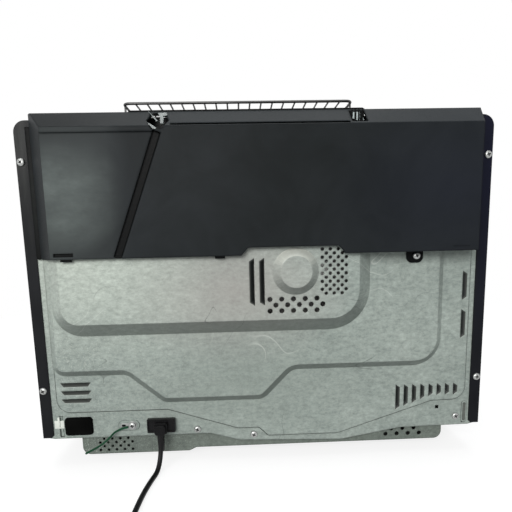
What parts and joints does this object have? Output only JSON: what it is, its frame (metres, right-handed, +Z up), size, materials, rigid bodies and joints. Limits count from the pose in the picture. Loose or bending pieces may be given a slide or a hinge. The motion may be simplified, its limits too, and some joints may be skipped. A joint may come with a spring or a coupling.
{
  "type": "countertop steam oven",
  "caption": "Countertop steam oven with a drop-down door, control column, water tank drawer, drip tray, rear cover and a wire cooking rack standing on top.",
  "frame": {"origin": "floor level below the middle of the oven's width and depth, cords left out", "axes": "+X to the right seen from the front, +Y towards the back, +Z up"},
  "size_m": [0.5, 0.6552, 0.4261],
  "materials": {
    "black_paint": "satin",
    "galvanised": "spangled",
    "cover_plastic": "satin black",
    "foot_rubber": "matt",
    "frame_enamel": "satin enamel",
    "cavity_coat": "enamel",
    "ceramic": "smooth",
    "tray_enamel": "gloss enamel",
    "sheet_steel": "plain",
    "stirrer_metal": "plain",
    "heater_tube": "heat tinted",
    "blanket": "glass fibre",
    "board": "circuit board",
    "inner_plastic": "plain",
    "silicone": "translucent",
    "lamp": "frosted",
    "door_plastic": "gloss black",
    "door_pane": "tinted",
    "door_steel": "plain",
    "seal_rubber": "matt",
    "handle_metal": "brushed",
    "display": "gloss",
    "knob": "turned",
    "button": "satin",
    "tank_clear": "clear",
    "drip_plastic": "satin",
    "wire_chrome": "bright",
    "inlet_plastic": "matt",
    "cord_jacket": "vinyl",
    "earth_green": "vinyl",
    "plug_rubber": "matt",
    "zinc": "zinc plated"
  },
  "bodies": {
    "oven": {"outer_cabinet": "black_paint", "rear_panel": "galvanised", "base_pan": "galvanised", "rear_cover": "cover_plastic", "exhaust_visor": "cover_plastic", "feet": "foot_rubber", "front_frame": "frame_enamel", "hinge_brackets": "frame_enamel", "cavity_shell": "cavity_coat", "fan_baffle": "cavity_coat", "fan_chamber": "cavity_coat", "ceramic_floor": "ceramic", "oven_tray": "tray_enamel", "waveguide": "sheet_steel", "exhaust_duct": "sheet_steel", "convection_motor": "sheet_steel", "stirrer_motor": "sheet_steel", "magnetron": "sheet_steel", "steam_generator": "stirrer_metal", "convection_heater": "heater_tube", "grill_heater": "heater_tube", "insulation_blanket": "blanket", "inverter_board": "board", "control_board": "board", "cooling_fan_frame": "inner_plastic", "tank_bay": "inner_plastic", "water_pump": "inner_plastic", "door_switches": "inner_plastic", "feed_pipe": "silicone", "oven_lamp": "lamp", "control_panel": "door_plastic", "display_window": "display", "power_inlet": "inlet_plastic", "strain_relief": "inlet_plastic", "mains_plug": "inlet_plastic", "mains_cord": "cord_jacket", "mains_coil": "cord_jacket", "earth_wire": "earth_green", "rubber_plug": "plug_rubber", "corner_clip": "zinc", "earth_terminal": "zinc", "screws": "zinc"},
    "door": {"door_frame": "door_plastic", "door_glass": "door_pane", "door_choke": "door_steel", "door_inner_glass": "door_pane", "door_seal": "seal_rubber", "door_handle": "handle_metal", "latch_hooks": "inner_plastic"},
    "tank": {"tank_front": "door_plastic", "tank_body": "tank_clear", "tank_lid": "tank_clear"},
    "drip_tray": {"drip_tray": "drip_plastic"},
    "dial": {"dial_knob": "knob"},
    "stop": {"stop_button": "button"},
    "start": {"start_button": "button"},
    "fan": {"convection_fan": "sheet_steel"},
    "cooling": {"cooling_rotor": "inner_plastic"},
    "antenna": {"stirrer": "stirrer_metal"},
    "rack": {"wire_rack": "wire_chrome"}
  },
  "joints": [
    {"name": "door_hinge", "type": "hinge", "parent": "oven", "child": "door", "pos_m": [0, -0.1625, 0.072], "axis": [1, 0, 0], "range_deg": [0, 90]},
    {"name": "tank_slide", "type": "slide", "parent": "oven", "child": "tank", "axis": [0, -1, 0], "range_m": [0, 0.185]},
    {"name": "drip_slide", "type": "slide", "parent": "oven", "child": "drip_tray", "axis": [0, -1, 0], "range_m": [0, 0.055]},
    {"name": "dial_turn", "type": "hinge", "parent": "oven", "child": "dial", "pos_m": [0.2035, -0.186, 0.232], "axis": [0, -1, 0], "continuous": true},
    {"name": "stop_press", "type": "slide", "parent": "oven", "child": "stop", "axis": [0, 1, 0], "range_m": [0, 0.0015], "stiffness_N_per_m": 400},
    {"name": "start_press", "type": "slide", "parent": "oven", "child": "start", "axis": [0, 1, 0], "range_m": [0, 0.0015], "stiffness_N_per_m": 400},
    {"name": "fan_spin", "type": "hinge", "parent": "oven", "child": "fan", "pos_m": [-0.035, 0.17, 0.219], "axis": [0, 1, 0], "continuous": true},
    {"name": "cooling_spin", "type": "hinge", "parent": "oven", "child": "cooling", "pos_m": [0.204, 0.16, 0.25], "axis": [0, 1, 0], "continuous": true},
    {"name": "antenna_spin", "type": "hinge", "parent": "oven", "child": "antenna", "pos_m": [-0.036, 0.06, 0.065], "axis": [0, 0, 1], "continuous": true},
    {"name": "rack_lift", "type": "slide", "parent": "oven", "child": "rack", "axis": [0, 0, 1], "range_m": [0, 0.12]}
  ]
}
